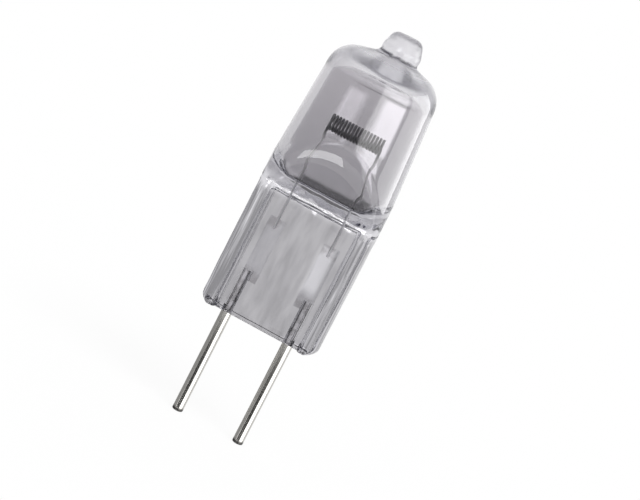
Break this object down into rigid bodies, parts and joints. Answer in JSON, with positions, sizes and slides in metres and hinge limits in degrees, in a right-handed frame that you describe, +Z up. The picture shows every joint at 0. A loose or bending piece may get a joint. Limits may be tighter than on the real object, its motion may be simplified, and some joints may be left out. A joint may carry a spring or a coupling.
{
  "type": "halogen capsule bulb",
  "caption": "Clear quartz halogen capsule lamp with a tapered bulb, sealed exhaust tip, flat press seal, crosswise filament coil and a straight two-pin base.",
  "frame": {"origin": "middle of the press seal's underside, on the lamp's axis", "axes": "+Z up the lamp's axis to the exhaust tip, the two pins side by side along X and pointing to -Z, the flat faces of the press seal towards -Y and +Y"},
  "size_m": [0.012, 0.0114, 0.0403],
  "materials": {
    "quartz": "clear fire-polished quartz",
    "tungsten": "matt drawn wire",
    "molybdenum_foil": "satin rolled foil",
    "pin_metal": "bright drawn wire"
  },
  "bodies": {
    "root": {"quartz_envelope": "quartz", "filament": "tungsten", "foil_left": "molybdenum_foil", "foil_right": "molybdenum_foil", "pin_left": "pin_metal", "pin_right": "pin_metal"}
  },
  "joints": []
}
